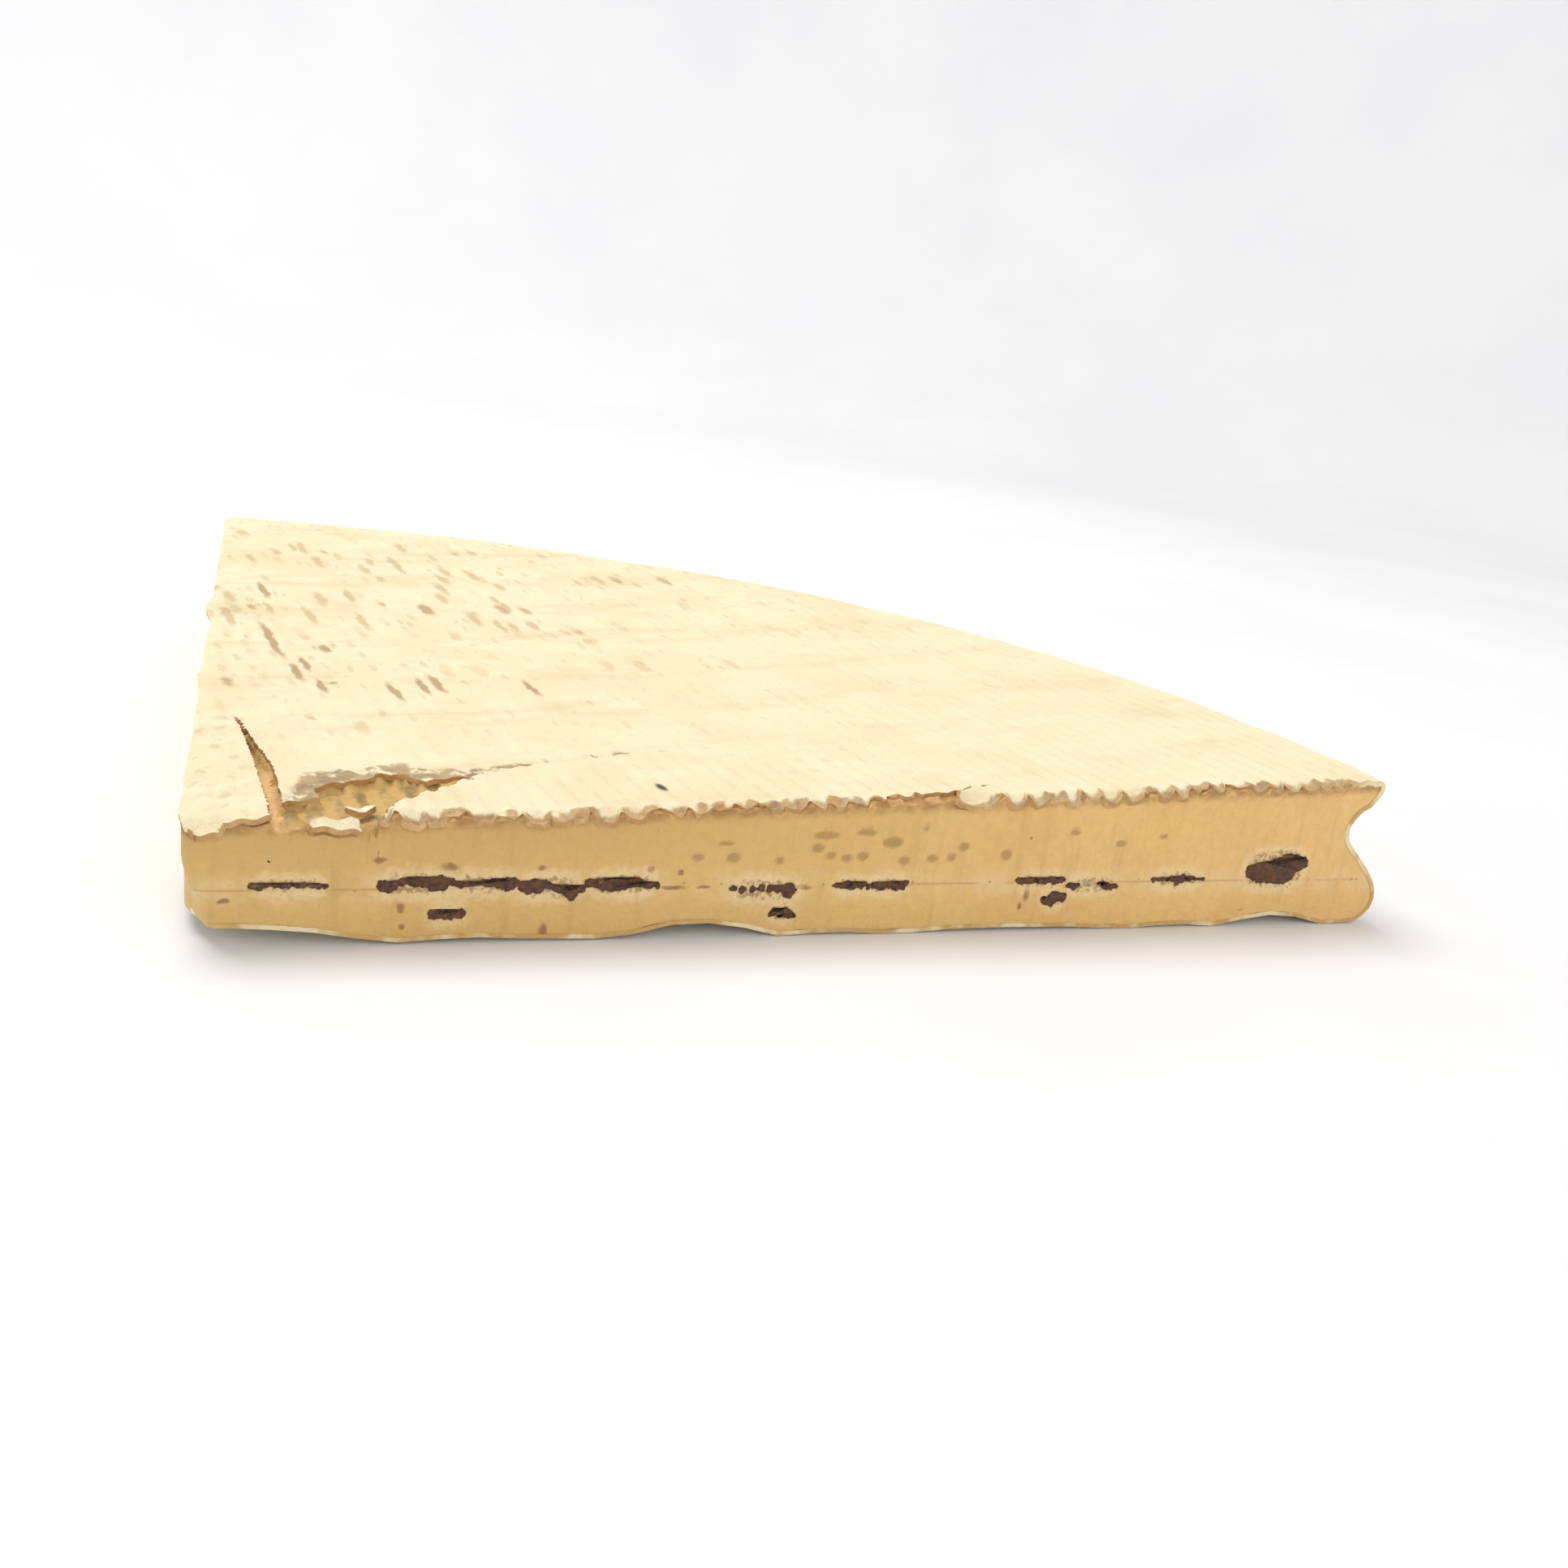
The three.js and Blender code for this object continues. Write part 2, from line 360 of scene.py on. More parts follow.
def front_lobes(x, y, z):
    """Weight of the lobes that hang over the front cut."""
    if not on_top(x, y, z) or y > 2.5:
        return 0
    if x < LEFT_DROOP:
        return smooth(1 - y / 2.2)
    if x < LOBES_FROM:
        return smooth(1 - y / 1.3) * (0.15 if x < SLIVER[0] else 0.5 + 0.5 * (x - SLIVER[0]) / 7)
    hang = lobe(x)
    return smooth(1 - y / (0.6 + 1.3 * hang)) * hang


def under_lobes(x, y, z):
    """The paste's top edge bends down with the rind, and the cut below it stays as it is."""
    return front_lobes(x, y, z) * smooth((z - dish(math.hypot(x, y)) + 5) / 4)


def under_droop(x, y, z):
    return side_droop(x, y, z) * smooth((z - dish(math.hypot(x, y)) + 5) / 4)


def notches(x, y, z):
    """Between the lobes the cut edge broke away and stands back."""
    if not on_top(x, y, z) or y > 4 or x < LOBES_FROM:
        return 0
    ragged = 0.6 + 0.4 * math.sin(x * 2.7 + math.sin(x * 1.3))
    return smooth(1 - y / 4) * smooth(1 - 1.6 * lobe(x)) * ragged * smooth((184 - x) / 20)


# Where the rind's edge stands out of the side cut: middle, half length, how far
SIDE_BULGES = [(104, 10, 1.1), (62, 7, 0.45)]


def side_bulge(x, y, z):
    if not on_top(x, y, z) or x > 7:
        return 0
    out = sum(far * smooth(1 - abs(y - middle) / half) for middle, half, far in SIDE_BULGES)
    return out * smooth(1 - x / 7)


def side_droop(x, y, z):
    if not on_top(x, y, z) or x > 2:
        return 0
    wave = 0.5 + 0.3 * math.sin(y / 9) + 0.2 * math.sin(y / 3.1 + 1)
    return smooth(1 - x / 1.6) * wave * smooth((y - 1) / 4)


def from_crack(x, y, z):
    """How far to the right of the crack a place on the top is, and how wide open the crack is there."""
    if not on_top(x, y, z) or x > CRACK_REACH[0] or y > CRACK_REACH[1]:
        return 0, 0
    share, right = beside(CRACK, x, y)
    return right, smooth((1 - share) * 1.8)


def crack_lip(x, y, z):
    right, open_share = from_crack(x, y, z)
    return math.exp(-right / 4) * open_share if right > 0 else 0


def crack_gap(x, y, z):
    right, open_share = from_crack(x, y, z)
    return smooth(1 + right / 2.2) * open_share if right <= 0 else 0


def slit_lip(x, y, z):
    if not on_top(x, y, z) or x > SLIT_REACH[0] or y > SLIT_REACH[1]:
        return 0
    share, right = beside(SLIT_EDGE, x, y)
    return math.exp(right / 3.5) * smooth((1 - share) * 3) if right < 0 else 0


def flap_lip(x, y, z):
    """The small flap's tongue stands up from the tear behind it."""
    if not on_top(x, y, z) or not 104 < x < 124 or y > 9:
        return 0
    right = beside([(106, 0), (107.4, 1.8), (111.5, 3.4), (117, 5.6)], x, y)[1]
    return math.exp(-right / 3) * smooth((118 - x) / 6) if right > 0 else 0


def straws(x, y, z):
    if not on_top(x, y, z):
        return 0
    across = x * math.cos(STRAW_TURN) + y * math.sin(STRAW_TURN)
    wave = 0.5 - 0.5 * math.sin(2 * math.pi * across / STRAW_PITCH + 0.7 * math.sin(x / 7))
    return wave * (0.25 + 0.75 * smooth((26 - y) / 22)) * top_share(x, y, z)


def tip_round(axis):
    """How far to move in along an axis to round off the wedge's upright tip edge."""
    def rule(x, y, z):
        dx, dy = TIP_FILLET - x, TIP_FILLET - y
        away = math.hypot(dx, dy)
        if dx <= 0 or dy <= 0 or away <= TIP_FILLET:
            return 0
        return (dx, dy)[axis] * (1 - TIP_FILLET / away) / TIP_FILLET
    return rule


def tip_lean(x, y, z):
    """The tip's lower part was pressed in."""
    return smooth(1 - x / 9) * smooth(1 - y / 9) * smooth((13 - z) / 11)


def round_tip(piece):
    along = paint(piece, tip_round(0))
    across = paint(piece, tip_round(1))
    lean = paint(piece, tip_lean)
    push(piece, TIP_FILLET, "X", along)
    push(piece, TIP_FILLET, "Y", across)
    push(piece, TIP_LEAN, "X", lean)


def on_rim(x, y, z):
    """The upright side of the wheel, away from the cuts."""
    outer = smooth((math.hypot(x, y) - FOOT_RADIUS + 14) / 9)
    return outer * smooth(z / 4) * smooth((RIM_HEIGHT - z) / 5) * smooth(min(x, y) / 5)


def undulate(piece):
    """The top's swells, straw marks and crack, and the rim's dents, in the rind and the paste alike."""
    top = paint(piece, top_share)
    rim = paint(piece, on_rim)
    push(piece, 1.6, "NORMAL", rim, noise_texture("rim_swells", 24), 0.95)
    push(piece, 0.5, "NORMAL", rim, noise_texture("rim_dents", 6), 0.8)
    push(piece, 0.8, "Z", top, noise_texture("swells", 20), 0.95)
    push(piece, 0.25, "Z", top, noise_texture("lumps", 4), 0.7)
    push(piece, -0.4, "Z", paint(piece, straws))
    push(piece, 1, "Z", paint(piece, crack_lip))
    push(piece, -0.6, "Z", paint(piece, crack_gap))


def skin_share(x, y, z):
    """The rind's thickness over its greatest: thinner on the underside."""
    return 0.8 + 0.2 * smooth(z / 16)


def ease_torn_edges(piece):
    """Smooths the steps that the mesh leaves along a tear, away from the two cuts."""
    bpy.ops.mesh.select_mode(type="VERT")
    mesh = bmesh.from_edit_mesh(piece.data)
    for vert in mesh.verts:
        x, y, z = from_tip(vert.co)
        vert.select_set(vert.is_boundary and z > TOP_FROM and min(x, y) > 0.3)
    bmesh.update_edit_mesh(piece.data)
    bpy.ops.mesh.vertices_smooth(factor=0.5, repeat=4)


def make_rind(skin_material, cut_material):
    rind = draw_line("rind", outline(*RIND_STEPS))
    pick_all()
    sweep(RIND_SWEEP)
    pick_all()
    bpy.ops.mesh.remove_doubles(threshold=MERGE * MM)
    pick_faces(rind, lambda p: p.z > TOP_FROM and torn_away(p.x, p.y))
    bpy.ops.mesh.delete(type="FACE")
    ease_torn_edges(rind)
    pick_all()
    bpy.ops.mesh.normals_make_consistent(inside=False)
    close_edit()
    undulate(rind)
    lobes = paint(rind, front_lobes)
    droop = paint(rind, side_droop)
    push(rind, 0.9, "Z", paint(rind, slit_lip))
    push(rind, 0.8, "Z", paint(rind, flap_lip))
    push(rind, 1.5, "Y", paint(rind, notches))
    push(rind, -LOBE_HANG, "Z", lobes)
    push(rind, -0.35, "Y", lobes)
    push(rind, -SIDE_HANG, "Z", droop)
    push(rind, -0.4, "X", droop)
    push(rind, -1, "X", paint(rind, side_bulge))
    push(rind, TIP_CURL[3], "Z", paint(rind, under_lift))
    round_tip(rind)
    skin = paint(rind, skin_share)
    rind.data.materials.append(skin_material)
    rind.data.materials.append(cut_material)
    shell = rind.modifiers.new("shell", "SOLIDIFY")
    shell.thickness = RIND_THICKNESS * MM
    shell.offset = -1
    shell.vertex_group = skin
    shell.material_offset = 1
    shell.material_offset_rim = 1
    apply_modifier(rind, shell)
    shade_smooth(50)
    return rind


# ---------------- paste

# Openings on the front cut: along, up, long, high
PITS = [
    (71.7, 14.6, 2.2, 0.8), (67.7, 12.5, 1.6, 1.1), (73, 12.4, 2, 1.5), (80, 11.9, 1.3, 1),
    (85.6, 13.9, 1.8, 1.4), (86.7, 15.9, 3.8, 1.1), (93, 16.3, 3, 1), (97.4, 14.8, 3, 1.6),
    (87.8, 12.8, 1.6, 1.1), (90.4, 12.3, 1.6, 1.3), (92.9, 12.6, 1.8, 1.3), (99.6, 11.9, 1.8, 1.3),
    (102.5, 16.7, 1.2, 0.9), (104.2, 12.2, 1.6, 1.2), (107.4, 12.4, 1.5, 1.2), (109.2, 14.1, 1.7, 1.4),
    (116.6, 12.7, 1.8, 1.7), (128, 16.4, 1.6, 0.9), (136.5, 14.6, 1.8, 1.1), (144, 15.8, 1.4, 0.8),
]
SIDE_PITS = [
    (38, 13, 1.6, 1.1), (44, 14.2, 2.2, 1.2), (47.5, 12.4, 1.4, 1), (61, 13.1, 1.8, 1.4),
    (66, 15, 2.6, 1.1), (70.5, 12.6, 1.6, 1.3), (92, 14.4, 2, 1.3), (97, 12.8, 1.5, 1.1),
    (101.5, 16.2, 2.8, 1.1), (126, 13.6, 1.8, 1.2),
]
PASTE_STEPS = (190, 14, 60)
PASTE_SWEEP = [(8, 4), (26, 60), (24, 26)]
GRID = 0.95  # the mesh of the front cut, and of the side cut that is swept from it
FINE_GRID = 0.4
FINE_BAND = (11.2, 17.4)  # the band of the cut with pits in it has a finer mesh
PIT_DEPTH = 1.2
# The hollow under the loose rind edge is darkened with painted shade as well, with the pits.
EDGE_HOLLOW = (8, 16.9, 3.4, 0.8)  # under the loose rind edge near the tip


def hollows(places, along, z):
    deepest = 0
    for middle, up, long, high in places:
        spread = ((along - middle) / long) ** 2 + ((z - up) / high) ** 2
        if spread < 0.36:
            deepest = max(deepest, math.sqrt(1 - spread / 0.36))
    return deepest


def front_hollow(x, y, z):
    if y > ON_CUT:
        return 0
    return max(hollows(PITS, x, z), hollows([EDGE_HOLLOW], x, z))


def side_hollow(x, y, z):
    return hollows(SIDE_PITS, y, z) if x < ON_CUT else 0


def front_waves(x, y, z):
    """The knife's path through the paste was a little uneven, and it shrank back between the rinds."""
    if y > ON_CUT:
        return 0
    waves = math.sin(x / 3.7 + z / 9) + math.sin(x / 8.3 - z / 14 + 1)
    waves += math.sin(x / 1.9 + z / 5 + math.sin(x / 6))
    return 0.6 + waves * 0.13


def side_waves(x, y, z):
    return front_waves(y + 31, 0, z) if x < ON_CUT else 0


def sunk(x, y, z):
    if not on_top(x, y, z) or y > SLIT_REACH[1]:
        return 0
    if inside(FLAP_TEAR, x, y):
        return 0.5
    if inside(TEAR, x, y):
        return 1
    return 0.8 * inside(SLIT, x, y)


def make_paste():
    paste = draw_line("paste", outline(*PASTE_STEPS, RIND_SUNK_IN_PASTE))
    pick_all()
    bpy.ops.mesh.edge_face_add()
    low, high = FINE_BAND
    columns = [i * GRID for i in range(1, 199)]
    columns += [(i + 0.5) * GRID for i in range(20, 155)]
    rows = [i * GRID for i in range(1, 28)]
    rows += [low + i * FINE_GRID for i in range(math.ceil((high - low) / FINE_GRID))]
    for cuts, direction in ((sorted(columns), Vector((1, 0, 0))), (sorted(rows), Vector((0, 0, 1)))):
        for cut in cuts:
            pick_all()
            bpy.ops.mesh.bisect(plane_co=at_tip(*direction * cut), plane_no=direction)
    pick_all()
    sweep(PASTE_SWEEP)
    pick_all()
    bpy.ops.mesh.remove_doubles(threshold=MERGE * MM)
    bpy.ops.mesh.normals_make_consistent(inside=False)
    close_edit()
    push(paste, 0.2, "Y", paint(paste, front_waves))
    push(paste, 0.2, "X", paint(paste, side_waves))
    push(paste, PIT_DEPTH, "Y", paint(paste, front_hollow))
    push(paste, PIT_DEPTH, "X", paint(paste, side_hollow))
    lobes = paint(paste, under_lobes)
    droop = paint(paste, under_droop)
    undulate(paste)
    push(paste, -0.9, "Z", paint(paste, sunk))
    push(paste, -LOBE_HANG, "Z", lobes)
    push(paste, -SIDE_HANG, "Z", droop)
    push(paste, TIP_CURL[3], "Z", paint(paste, under_lift))
    round_tip(paste)
    shade_smooth()
    return paste


# ---------------- truffle

# Lumps of the crumbs with a shape of their own: share of the length, rise and size over half the thickness
CRUMB_SHAPES = {
    "truffle_front_1": [
        (0, 0.1, 0.55), (0.1, -0.1, 0.6), (0.2, 0.1, 0.5), (0.3, 0, 0.5), (0.4, 0.1, 0.45), (0.5, 0, 0.5),
        (0.6, 0.1, 0.45), (0.7, 0, 0.5), (0.8, 0.1, 0.6), (0.9, 0, 0.6), (1, 0, 0.5),
    ],
    "truffle_front_2": [
        (0.02, -0.2, 0.75), (0.1, -0.3, 0.8), (0.2, 0, 0.5), (0.3, 0.25, 0.6), (0.4, 0.3, 0.65),
        (0.5, 0.25, 0.6), (0.6, 0.3, 0.65), (0.7, 0.1, 0.7), (0.8, -0.05, 1), (0.9, 0.15, 0.95),
        (1, 0.1, 0.5),
    ],
    "truffle_front_3": [
        (0, 0, 0.6), (0.1, -0.1, 0.5), (0.2, 0, 0.4), (0.3, 0.1, 0.35), (0.4, 0.1, 0.55), (0.5, 0, 0.5),
        (0.6, 0.2, 0.7), (0.72, 0, 0.6), (0.85, -0.2, 0.9), (0.93, 0.1, 0.95), (1, 0, 0.6),
    ],
    "truffle_front_4": [
        (0, 0.1, 0.65), (0.08, -0.3, 0.55), (0.17, 0.3, 0.7), (0.27, -0.2, 0.6), (0.36, 0.35, 0.55),
        (0.46, 0, 0.5), (0.56, -0.1, 0.5), (0.66, -0.3, 0.5), (0.75, -0.7, 0.5), (0.83, -1.15, 0.4),
        (0.9, -0.7, 0.5), (1, -0.2, 0.5),
    ],
    "truffle_front_5": [
        (0, 0.1, 0.5), (0.08, 0, 0.5), (0.18, 0, 0.75), (0.28, 0, 1), (0.38, 0, 1), (0.47, 0, 0.8),
        (0.56, 0.1, 0.55), (0.66, 0.2, 0.6), (0.76, 0.15, 0.65), (0.86, -0.05, 0.6), (0.93, -0.1, 0.5),
        (1, -0.2, 0.4),
    ],
    "truffle_front_7": [
        (0.03, 0.2, 0.35), (0.15, 0, 0.4), (0.3, 0.15, 0.35), (0.42, 0.2, 0.4), (0.55, 0.1, 0.42),
        (0.68, 0.15, 0.5), (0.88, -0.1, 0.95),
    ],
    "truffle_front_14": [
        (0, 0, 0.3), (0.09, 0, 0.3), (0.18, 0.1, 0.35), (0.27, 0, 0.4), (0.36, 0.2, 0.45),
        (0.43, 0.3, 0.55), (0.5, -0.1, 0.8), (0.5, -0.8, 0.4), (0.58, 0.4, 0.5), (0.65, 0.1, 0.45),
        (0.73, 0, 0.4), (0.82, 0.1, 0.4), (0.91, 0, 0.35), (1, 0, 0.3),
    ],
    "truffle_front_13": [
        (0, 0.1, 0.55), (0.1, -0.1, 0.6), (0.2, 0.1, 0.5), (0.62, 0.3, 0.5), (0.72, 0.1, 0.6),
        (0.82, -0.2, 0.7), (0.92, -0.4, 0.6), (1, -0.4, 0.5),
    ],
    "truffle_front_15": [
        (0.1, -0.15, 0.5), (0.25, -0.1, 0.62), (0.4, -0.2, 0.6), (0.55, 0.05, 0.7), (0.72, 0.15, 0.8),
        (0.86, 0.3, 0.55), (0.97, 0.35, 0.4), (0.72, -0.3, 0.55), (0.55, -0.35, 0.5),
    ],
    "truffle_side_8": [
        (0.1, 0.3, 0.5), (0.3, -0.1, 0.75), (0.5, 0.2, 0.6), (0.7, 0.2, 0.7), (0.9, -0.1, 0.5),
    ],
}
CRUMB_OVERRUN = 1.3  # how far a crumb runs past its CAD solid at each end
CRUMB_PROUD = 0.06  # how far a cut crumb's flat stands out of the paste's face
CRUMB_VOXEL = 0.2
SMALLEST_LUMP = 0.4


def loose_lumps(length, thickness, draw):
    count = max(5, round(3 * length / thickness))
    return [
        ((i + draw.uniform(0, 1)) / count, draw.uniform(-0.4, 0.4), draw.uniform(0.55, 0.9))
        for i in range(count)
    ]


def make_crumb(node, side, number):
    """One cut truffle crumb: lumps run together, roughened, and cut flat where the knife went."""
    low, high = (from_tip(corner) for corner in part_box(node))
    start, end = (low.y, high.y) if side == "side" else (low.x, high.x)
    start, end = start - CRUMB_OVERRUN, end + CRUMB_OVERRUN
    length, thickness, middle = end - start, high.z - low.z, (high.z + low.z) / 2
    draw = random.Random(node)
    lumps = CRUMB_SHAPES.get(node) or loose_lumps(length, thickness, draw)
    deselect_all()
    made = []
    for share, rise, size in lumps:
        radius = max(size * thickness / 2, SMALLEST_LUMP)
        along = start + radius + (length - 2 * radius) * share
        depth = radius * draw.uniform(0, 0.35)
        place = (depth, along) if side == "side" else (along, depth)
        bpy.ops.mesh.primitive_ico_sphere_add(
            subdivisions=2, radius=radius * MM, location=at_tip(*place, middle + rise * thickness / 2)
        )
        made.append(bpy.context.object)
    for lump in made:
        lump.select_set(True)
    bpy.ops.object.join()
    crumb = bpy.context.object
    crumb.name = f"truffle_crumb_{side}_{number:02d}"
    bpy.ops.object.transform_apply(location=True, rotation=True, scale=True)
    weld = crumb.modifiers.new("weld", "REMESH")
    weld.mode = "VOXEL"
    weld.voxel_size = CRUMB_VOXEL * MM
    apply_modifier(crumb, weld)
    push(crumb, 0.8, "NORMAL", texture=noise_texture("crumb", 1.1), middle=0.45)
    push(crumb, 0.6, "NORMAL", texture=noise_texture("grit", 0.5))
    open_edit(crumb)
    pick_all()
    across = (-1, 0, 0) if side == "side" else (0, -1, 0)
    flat = TIP + Vector(across) * CRUMB_PROUD * MM
    bpy.ops.mesh.bisect(plane_co=flat, plane_no=across, clear_outer=True, use_fill=True)
    close_edit()
    shade_smooth()
    return crumb


# ---------------- material tools

def colour(red, green, blue):
    """A colour as a paint chart gives it, 0 to 255, in the linear values that shaders take."""
    shares = (red / 255, green / 255, blue / 255)
    linear = [c / 12.92 if c < 0.04 else ((c + 0.055) / 1.055) ** 2.4 for c in shares]
    return (*linear, 1)


def wire(tree, value, socket):
    if isinstance(value, bpy.types.NodeSocket):
        tree.links.new(value, socket)
    else:
        socket.default_value = value


def add(tree, kind, inputs=None, **settings):
    node = tree.nodes.new("ShaderNode" + kind)
    for name, value in settings.items():
        setattr(node, name, value)
    for name, value in (inputs or {}).items():
        wire(tree, value, node.inputs[name])
    return node


def maths(tree, operation, *values):
    node = add(tree, "Math", operation=operation)
    for i, value in enumerate(values):
        wire(tree, value, node.inputs[i])
    return node.outputs[0]


def times(tree, *values):
    result = values[0]
    for value in values[1:]:
        result = maths(tree, "MULTIPLY", result, value)
    return result


def most(tree, *values):
    result = values[0]
    for value in values[1:]:
        result = maths(tree, "MAXIMUM", result, value)
    return result


def fade(tree, value, start, end, low=0, high=1):
    """Low up to start, high from end on, and smooth between."""
    inputs = {"Value": value, "From Min": start, "From Max": end, "To Min": low, "To Max": high}
    return add(tree, "MapRange", inputs, interpolation_type="SMOOTHSTEP").outputs[0]


def mix(tree, factor, first, second):
    node = add(tree, "Mix", data_type="RGBA")
    for socket, value in ((0, factor), (6, first), (7, second)):
        wire(tree, value, node.inputs[socket])
    return node.outputs[2]


def coats(tree, base, *masks_and_colours):
    """A colour with others laid over it in turn, each where its mask is."""
    for mask, tint in masks_and_colours:
        base = mix(tree, mask, base, tint)
    return base


def finish_surface(tree, shader, base, roughness):
    wire(tree, base, shader.inputs["Base Color"])
    wire(tree, roughness, shader.inputs["Roughness"])


def split(tree, vector):
    return add(tree, "SeparateXYZ", {"Vector": vector}).outputs


def vectors(tree, operation, *values):
    node = add(tree, "VectorMath", operation=operation)
    for i, value in enumerate(values):
        wire(tree, value, node.inputs[i])
    return node.outputs["Value" if operation == "LENGTH" else 0]


def stretch(tree, vector, scale):
    return add(tree, "Mapping", {"Vector": vector, "Scale": scale}).outputs[0]


def noise(tree, place, scale, detail, roughness=0.5):
    inputs = {"Vector": place, "Scale": scale, "Detail": detail, "Roughness": roughness}
    return add(tree, "TexNoise", inputs).outputs["Fac"]


VECTORS = ("Place", "Middle", "Reach")


def new_group(name, inputs, output):
    """A node group that takes and gives numbers, and vectors where a socket's name is in VECTORS."""
    group = bpy.data.node_groups.new(name, "ShaderNodeTree")
    for in_out, sockets in (("INPUT", inputs), ("OUTPUT", [output])):
        for socket in sockets:
            kind = "NodeSocketVector" if socket in VECTORS else "NodeSocketFloat"
            group.interface.new_socket(socket, in_out=in_out, socket_type=kind)
    taken = group.nodes.new("NodeGroupInput").outputs
    given = group.nodes.new("NodeGroupOutput").inputs
    return group, taken, given


def use(tree, group, **inputs):
    node = add(tree, "Group", node_tree=group)
    for name, value in inputs.items():
        wire(tree, value, node.inputs[name])
    return node.outputs[0]


def place_group():
    """Millimetres from the wedge's tip."""
    group, _, given = new_group("place_from_tip", [], "Place")
    here = add(group, "TexCoord").outputs["Object"]
    scale = 1 / MM
    inputs = {"Vector": here, "Location": -TIP * scale, "Scale": (scale, scale, scale)}
    wire(group, add(group, "Mapping", inputs).outputs[0], given["Place"])
    return group


def mottle_group():
    """Soft cloudy patches of a given size, from 0 where the noise is low to 1 where it is high."""
    group, taken, given = new_group("mottle", ["Place", "Size", "Low", "High"], "Mask")
    scale = maths(group, "DIVIDE", 1, taken["Size"])
    wavy = noise(group, taken["Place"], scale, 3, 0.6)
    wire(group, fade(group, wavy, taken["Low"], taken["High"]), given["Mask"])
    return group


def spots_group():
    """Scattered spots: their spacing, the share of places with one, and their size over the spacing."""
    group, taken, given = new_group("spots", ["Place", "Spacing", "Share", "Size"], "Mask")
    scale = maths(group, "DIVIDE", 1, taken["Spacing"])
    cells = add(group, "TexVoronoi", {"Vector": taken["Place"], "Scale": scale, "Randomness": 0.85})
    lot = split(group, cells.outputs["Color"])
    kept = maths(group, "LESS_THAN", lot[0], taken["Share"])
    size = times(group, taken["Size"], fade(group, lot[1], 0, 1, 0.5, 1))
    spot = maths(group, "SUBTRACT", 1, maths(group, "DIVIDE", cells.outputs["Distance"], size))
    strength = fade(group, lot[2], 0, 1, 0.35, 1)
    wire(group, times(group, kept, fade(group, spot, 0, 0.6), strength), given["Mask"])
    return group


def mark_group():
    """One soft-edged oval mark at a place."""
    group, taken, given = new_group("mark", ["Place", "Middle", "Reach"], "Mask")
    away = vectors(group, "SUBTRACT", taken["Place"], taken["Middle"])
    share = vectors(group, "LENGTH", vectors(group, "DIVIDE", away, taken["Reach"]))
    wire(group, fade(group, share, 1, 0.35), given["Mask"])
    return group


def fray_group():
    """A place moved about by noise, so that what is drawn with it has uneven edges."""
    group, taken, given = new_group("fray", ["Place", "Size", "Amount"], "Place")
    scale = maths(group, "DIVIDE", 1, taken["Size"])
    drift = add(group, "TexNoise", {"Vector": taken["Place"], "Scale": scale, "Detail": 2}).outputs["Color"]
    shift = vectors(group, "SUBTRACT", drift, (0.5, 0.5, 0.5))
    wire(group, vectors(group, "MULTIPLY_ADD", shift, taken["Amount"], taken["Place"]), given["Place"])
    return group


PLACE, MOTTLE, SPOTS, MARK, FRAY = place_group(), mottle_group(), spots_group(), mark_group(), fray_group()


def mottled(tree, place, size, low, high):
    return use(tree, MOTTLE, Place=place, Size=size, Low=low, High=high)


def spotted(tree, place, spacing, share, size):
    return use(tree, SPOTS, Place=place, Spacing=spacing, Share=share, Size=size)


def new_material(name):
    material = bpy.data.materials.new(name)
    material.use_nodes = True
    tree = material.node_tree
    return material, tree, tree.nodes["Principled BSDF"], use(tree, PLACE)


def bump(tree, shader, height, strength=1):
    node = add(tree, "Bump", {"Height": height, "Distance": MM, "Strength": strength})
    wire(tree, node.outputs[0], shader.inputs["Normal"])


def stain(piece, name, rule):
    """A value at each point of the mesh, for a material to read."""
    layer = piece.data.attributes.new(name, "FLOAT", "POINT")
    for vert in piece.data.vertices:
        layer.data[vert.index].value = rule(*from_tip(vert.co))


def stained(tree, name):
    return add(tree, "Attribute", attribute_name=name).outputs["Fac"]


# ---------------- materials

# Marks that the straws left on the top: place across them, along them, half width, half length
DASHES = [
    (25, 80.5, 1.1, 17), (29.2, 114.5, 0.9, 9), (39, 49.3, 0.9, 8), (44.3, 51.5, 0.9, 7),
    (46.8, 52.4, 1.1, 8), (62.1, 48, 0.8, 7), (27.6, 65, 0.9, 6), (25.6, 60.8, 0.9, 7),
    (28.1, 53.7, 0.9, 5.5), (30.4, 55.3, 1.1, 1.2), (32.9, 75, 1.4, 4),
]


def draw_dashes():
    """Fainter marks, thick on the corner between the side cut and the rim."""
    draw = random.Random("dashes")
    drawn = []
    for _ in range(34):
        x, y = draw.uniform(2, 62), draw.uniform(92, 170)
        across = x * math.cos(STRAW_TURN) + y * math.sin(STRAW_TURN)
        along = y * math.cos(STRAW_TURN) - x * math.sin(STRAW_TURN)
        drawn.append((across, along, draw.uniform(0.9, 1.6), draw.uniform(4, 9)))
    return drawn


